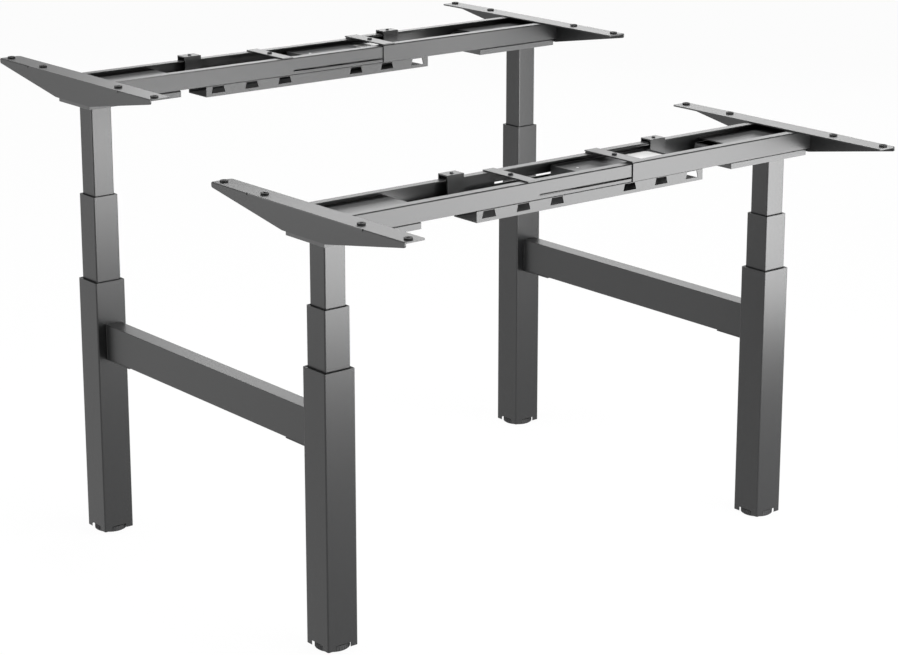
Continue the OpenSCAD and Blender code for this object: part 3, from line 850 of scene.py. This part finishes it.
# %% Screw down the ties and the hangers
SAME_RADIUS = 0.5 * MM
for body in sorted({place["body"] for place in screw_places}):
    for label, sizes in (("tie", TIE_SCREW), ("hanger", HANGER_SCREW)):
        tops = [place["top"] for place in screw_places
                if place["body"] == body and abs(place["radius"] - sizes["Head Radius"]) < SAME_RADIUS]
        if tops:
            points = [top - UP * sizes["Head Height"] for top in tops]
            add_screws(body + "_" + label + "_screws", body, points, UP, sizes)

# %% [markdown]
# Each crossbar rests on two sheet saddles, screwed to it from below. These screws face down and are
# seen only from low angles, where a bare plate would look unfinished.

# %% Screw the saddles from below
SADDLE_FIRST = 26 * MM
SADDLE_STEP = 40 * MM
SCREWS_PER_SADDLE = 2
for side in SIDES:
    low, high = (Vector(c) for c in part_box(side + "_crossbar"))
    middle_x = (low.x + high.x) / 2
    inward = [SADDLE_FIRST + n * SADDLE_STEP for n in range(SCREWS_PER_SADDLE)]
    places = [Vector((middle_x, low.y + run, low.z)) for run in inward]
    places += [Vector((middle_x, high.y - run, low.z)) for run in inward]
    add_screws(side + "_saddle_screws", side + "_base", places, DOWN, SADDLE_SCREW)

# %% [markdown]
# A glide foot is a moulded disc that a hand turns to level the frame, so its rim is ribbed for grip.
# The ribs follow a rule, a small block every ten degrees round a circle, so a tree makes them: a curve
# circle gives the points, and each rib turns to face outwards.

# %% Build the rib tree
FOOT_RIBS = 36
RIB_DEPTH = 0.8 * MM
RIB_WIDTH = 2.4 * MM


def build_rib_tree():
    """Blocks round a circle about the point, each facing outwards."""
    tree, start, end = start_tree("foot_ribs", {
        "Radius": "NodeSocketFloat", "Rib Depth": "NodeSocketFloat", "Rib Width": "NodeSocketFloat",
        "Rib Height": "NodeSocketFloat", "Count": "NodeSocketInt",
    })
    ring = tree.nodes.new("GeometryNodeCurvePrimitiveCircle")
    tree.links.new(start.outputs["Radius"], ring.inputs["Radius"])
    tree.links.new(start.outputs["Count"], ring.inputs["Resolution"])
    points = tree.nodes.new("GeometryNodeCurveToPoints")
    points.mode = "EVALUATED"
    tree.links.new(ring.outputs["Curve"], points.inputs["Curve"])
    size = tree.nodes.new("ShaderNodeCombineXYZ")
    tree.links.new(start.outputs["Rib Depth"], size.inputs["X"])
    tree.links.new(start.outputs["Rib Width"], size.inputs["Y"])
    tree.links.new(start.outputs["Rib Height"], size.inputs["Z"])
    block = tree.nodes.new("GeometryNodeMeshCube")
    tree.links.new(size.outputs[0], block.inputs["Size"])
    place = tree.nodes.new("GeometryNodeInputPosition")
    outward = turn_towards(tree, "X", place.outputs[0])
    ribs = put_on_points(tree, points.outputs["Points"], block.outputs["Mesh"], outward)
    end_tree(tree, start, end, put_on_points(tree, start.outputs["Geometry"], ribs))
    return tree


rib_tree = build_rib_tree()
print("rib tree nodes:", len(rib_tree.nodes))

# %% [markdown]
# The CAD foot is a plain disc. Its copy is drawn in by the depth of the ribs, so that the ribs reach
# the CAD radius and no further. Its edges get a moulded round, small enough to stay clear of the base
# plate when the foot is screwed right in.

# %% Dress the glide feet
FOOT_EDGE = 0.45 * MM
STEM_AND_HUB = 20 * MM
RIB_ROOM = 1.6 * MM


def shrink_disc(shape, axis, less):
    """Draws the disc's points in towards the axis."""
    for vert in shape.verts:
        arm = Vector((vert.co.x - axis.x, vert.co.y - axis.y, 0))
        if arm.length > STEM_AND_HUB:
            vert.co -= arm.normalized() * less
    return shape


for corner in CORNERS:
    foot = corner + "_foot"
    low, high = (Vector(c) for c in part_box(foot))
    axis = (low + high) / 2
    radius = (high.x - low.x) / 2
    shape = clean_copy(foot)
    disc_top = max(v.co.z for v in shape.verts if (v.co.xy - axis.xy).length > STEM_AND_HUB)
    dress(foot, shrink_disc(shape, axis, RIB_DEPTH), FOOT_EDGE)
    ribs = foot + "_ribs"
    values = {
        "Radius": radius - RIB_DEPTH, "Rib Depth": 2 * RIB_DEPTH, "Rib Width": RIB_WIDTH,
        "Rib Height": disc_top - 2 * RIB_ROOM, "Count": FOOT_RIBS, "Material": FINISHES["foot_plastic"],
    }
    middle = Vector((axis.x, axis.y, disc_top / 2))
    made = mesh_of_tree(ribs, rib_tree, [middle], UP, values)
    add_piece(ribs, made, "foot_plastic", BODY_OF[foot])
print("foot radius mm:", round(radius / MM, 2), "disc top mm:", round(disc_top / MM, 2))

# %% [markdown]
# The control box is a shallow plastic case. Its lid lies a little below a rim, which catches a thin
# line of light. On the lid there is one plain pale sheet and a small round lens. The sheet is raised by
# a fraction of a millimetre, as a real one is.

# %% Dress the control boxes
BOX_EDGE = 0.7 * MM
LID_BELOW_RIM = 2.5 * MM
SHEET_RAISE = 0.15 * MM
SHEET_LONG = 78 * MM
SHEET_WIDE = 62 * MM
SHEET_FROM_END = 8 * MM
SHEET_FROM_BACK = 16 * MM
SHEET_CORNER = 3 * MM
SHEET_CORNER_SEGMENTS = 4
LENS_RADIUS = 3.0 * MM
LENS_FROM_END = 32 * MM
LENS_SIDES = 20
LENS_RADIUS_SHARES = (1.0, 1.0, 0.9, 0.7, 0.4)
LENS_RISE_SHARES = (0.0, 0.125, 0.2, 0.26, 0.3)


def add_raised_sheet(name, low, high, z, body):
    """A thin pale sheet with round corners, lying on z."""
    shape = bmesh.new()
    outline = [(low.x, low.y), (high.x, low.y), (high.x, high.y), (low.x, high.y)]
    face = shape.faces.new([shape.verts.new((x, y, z)) for x, y in outline])
    raised = bmesh.ops.extrude_face_region(shape, geom=[face])
    for vert in [g for g in raised["geom"] if isinstance(g, bmesh.types.BMVert)]:
        vert.co.z += SHEET_RAISE
    upright = [e for e in shape.edges if abs(e.verts[0].co.z - e.verts[1].co.z) > SHEET_RAISE / 2]
    bmesh.ops.bevel(
        shape, geom=upright, offset=SHEET_CORNER, segments=SHEET_CORNER_SEGMENTS, affect="EDGES")
    bmesh.ops.recalc_face_normals(shape, faces=shape.faces)
    add_piece(name, mesh_from(shape, name), "pale_film", body)


def add_lens(name, middle, z, body):
    """A small domed lens, made of rings that shrink as they rise."""
    shape = bmesh.new()
    angles = [2 * math.pi * n / LENS_SIDES for n in range(LENS_SIDES)]
    rows = []
    for radius_share, rise_share in zip(LENS_RADIUS_SHARES, LENS_RISE_SHARES):
        radius = radius_share * LENS_RADIUS
        height = z + rise_share * LENS_RADIUS
        ring = [(middle.x + radius * math.cos(a), middle.y + radius * math.sin(a), height) for a in angles]
        rows.append([shape.verts.new(point) for point in ring])
    for lower, upper in zip(rows, rows[1:]):
        for n in range(LENS_SIDES):
            following = (n + 1) % LENS_SIDES
            shape.faces.new((lower[n], lower[following], upper[following], upper[n]))
    shape.faces.new(rows[-1])
    shape.faces.new(list(reversed(rows[0])))
    add_piece(name, mesh_from(shape, name), "pale_film", body)


for desk in DESKS:
    case = desk + "_control_box"
    low, high = (Vector(c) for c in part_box(case))
    dress(case, clean_copy(case), BOX_EDGE)
    lid = high.z - LID_BELOW_RIM
    sheet_high = Vector((high.x - SHEET_FROM_END, high.y - SHEET_FROM_BACK))
    sheet_low = sheet_high - Vector((SHEET_LONG, SHEET_WIDE))
    add_raised_sheet(desk + "_lid_sheet", sheet_low, sheet_high, lid, BODY_OF[case])
    lens_at = Vector((low.x + LENS_FROM_END, (low.y + high.y) / 2))
    add_lens(desk + "_lid_lens", lens_at, lid, BODY_OF[case])
print("control box mm:", [round((b - a) / MM, 1) for a, b in zip(low, high)])

# %% [markdown]
# The pieces inside the columns show only in a pose or through a gap. Their CAD shapes are right as
# they are, so each keeps its own mesh and only its material slot is filled.

# %% Finish the parts inside the columns
shown = [name for name, obj in frame["nodes"].items() if not obj.hide_render]
for name in shown:
    mesh = frame["nodes"][name].data
    mesh.materials.clear()
    mesh.materials.append(FINISHES[SLOT_OF[name]])
print("CAD nodes shown with their own mesh:", len(shown))
